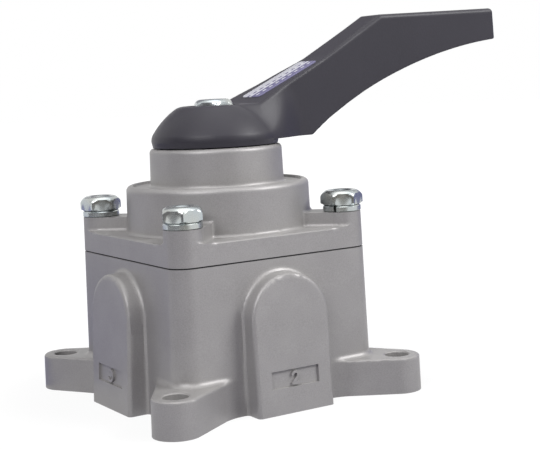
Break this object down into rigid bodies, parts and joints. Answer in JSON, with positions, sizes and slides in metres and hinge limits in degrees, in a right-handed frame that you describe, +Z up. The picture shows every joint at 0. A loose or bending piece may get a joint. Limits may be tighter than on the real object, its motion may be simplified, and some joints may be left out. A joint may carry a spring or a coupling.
{
  "type": "manual switching valve",
  "caption": "Hand-operated rotary disc air valve: square cast body ported from below, mounting ears, bolted cover with stepped neck, and a long cranked lever bolted to its spindle.",
  "frame": {"origin": "centre of the square mounting face and of the four mounting holes, on the spindle axis", "axes": "+Z up along the spindle axis, away from the mounting face; +X along the lever in its middle position; +Y to the left of the lever, seen from above"},
  "size_m": [0.181, 0.1056, 0.1363],
  "materials": {
    "casting": "satin",
    "lever_casting": "satin",
    "zinc_steel": "satin",
    "spring_steel": "satin",
    "ground_steel": "polished",
    "plate_bronze": "satin",
    "bush_bronze": "satin",
    "gasket": "matte",
    "seal": "matte",
    "rotor_plastic": "matte",
    "washer_plastic": "matte",
    "label": "satin"
  },
  "bodies": {
    "housing": {"body_casting": "casting", "way_seals": "seal", "valve_plate": "plate_bronze", "plate_dowels": "ground_steel", "joint_gasket": "gasket", "cover_casting": "casting", "lock_washers": "zinc_steel", "cover_screws": "zinc_steel", "spindle_bush": "bush_bronze", "thrust_washer": "washer_plastic", "stop_pin": "ground_steel", "index_spring_a": "spring_steel", "index_spring_b": "spring_steel", "wiper_ring": "seal"},
    "ball_a": {"index_ball_a": "ground_steel"},
    "ball_b": {"index_ball_b": "ground_steel"},
    "lever_set": {"spindle": "ground_steel", "spindle_seal": "seal", "rotor": "rotor_plastic", "rotor_springs": "spring_steel", "index_plate": "ground_steel", "lever": "lever_casting", "lever_label": "label", "flat_washer": "zinc_steel", "lever_lock_washer": "zinc_steel", "lever_bolt": "zinc_steel"}
  },
  "joints": [
    {"name": "lever_turn", "type": "hinge", "parent": "housing", "child": "lever_set", "pos_m": [0, 0, 0], "axis": [0, 0, 1], "range_deg": [-45, 45]},
    {"name": "ball_a_lift", "type": "slide", "parent": "housing", "child": "ball_a", "axis": [0, 0, 1], "range_m": [0, 0.0008], "stiffness_N_per_m": 20, "springref_m": 0.003, "deforming": ["index_spring_a"]},
    {"name": "ball_b_lift", "type": "slide", "parent": "housing", "child": "ball_b", "axis": [0, 0, 1], "range_m": [0, 0.0008], "stiffness_N_per_m": 20, "springref_m": 0.003, "deforming": ["index_spring_b"]}
  ],
  "couplings": [
    {"joint": "ball_b_lift", "follows": "ball_a_lift", "ratio": 1}
  ]
}
